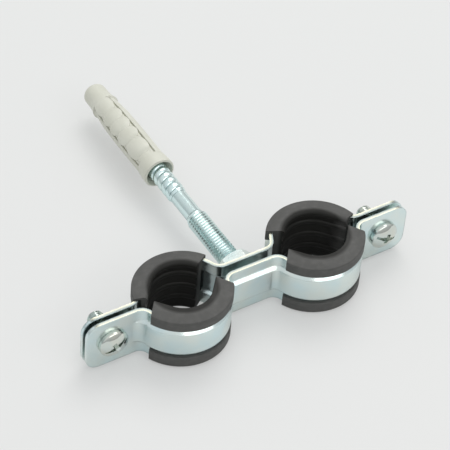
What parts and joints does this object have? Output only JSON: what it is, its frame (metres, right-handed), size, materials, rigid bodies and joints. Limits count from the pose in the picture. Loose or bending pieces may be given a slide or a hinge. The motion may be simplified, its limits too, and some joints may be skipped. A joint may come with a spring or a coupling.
{
  "type": "rubber lined pipe clamp",
  "caption": "Twin rubber-lined steel pipe clamp, closed by screws at its ears, on a hanger bolt that runs into a nylon wall plug.",
  "frame": {"origin": "on the hanger bolt's axis, in the plane of the wall plug's mouth, which is the wall's surface", "axes": "+Y into the wall along the bolt; +X along the straps from the left pipe to the right one; +Z along both pipes"},
  "size_m": [0.128, 0.1284, 0.0224],
  "materials": {
    "zinc_strap": "bright blue-passivated zinc plate on pressed steel strip",
    "zinc_nut": "bright zinc plate",
    "zinc_screw": "bright zinc plate",
    "zinc_bolt": "bright blue-passivated zinc plate",
    "rubber": "matt black EPDM",
    "nylon": "pale grey moulded nylon"
  },
  "bodies": {
    "back_half": {"back_strap": "zinc_strap", "weld_nut": "zinc_nut", "left_back_lining": "rubber", "right_back_lining": "rubber"},
    "front_half": {"front_strap": "zinc_strap", "left_front_lining": "rubber", "right_front_lining": "rubber"},
    "left_screw": {"left_screw": "zinc_screw"},
    "right_screw": {"right_screw": "zinc_screw"},
    "hanger_bolt": {"hanger_bolt": "zinc_bolt"},
    "wall_plug": {"wall_plug": "nylon"}
  },
  "joints": [
    {"name": "front_half_opening", "type": "slide", "parent": "back_half", "child": "front_half", "axis": [0, -1, 0], "range_m": [-0.001, 0.0085]},
    {"name": "left_screw_turn", "type": "hinge", "parent": "front_half", "child": "left_screw", "pos_m": [-0.0543, -0.0605, 0], "axis": [0, -1, 0], "range_deg": [-360, 3060]},
    {"name": "right_screw_turn", "type": "hinge", "parent": "front_half", "child": "right_screw", "pos_m": [0.0543, -0.0605, 0], "axis": [0, -1, 0], "range_deg": [-360, 3060]},
    {"name": "bolt_turn", "type": "hinge", "parent": "back_half", "child": "hanger_bolt", "pos_m": [0, -0.0605, 0], "axis": [0, 1, 0], "continuous": true},
    {"name": "plug_slide", "type": "slide", "parent": "hanger_bolt", "child": "wall_plug", "axis": [0, 1, 0], "range_m": [0, 0.03]}
  ],
  "couplings": [
    {"joint": "left_screw_turn", "follows": "front_half_opening", "rad_per_m": 6283.2},
    {"joint": "right_screw_turn", "follows": "front_half_opening", "rad_per_m": 6283.2}
  ]
}
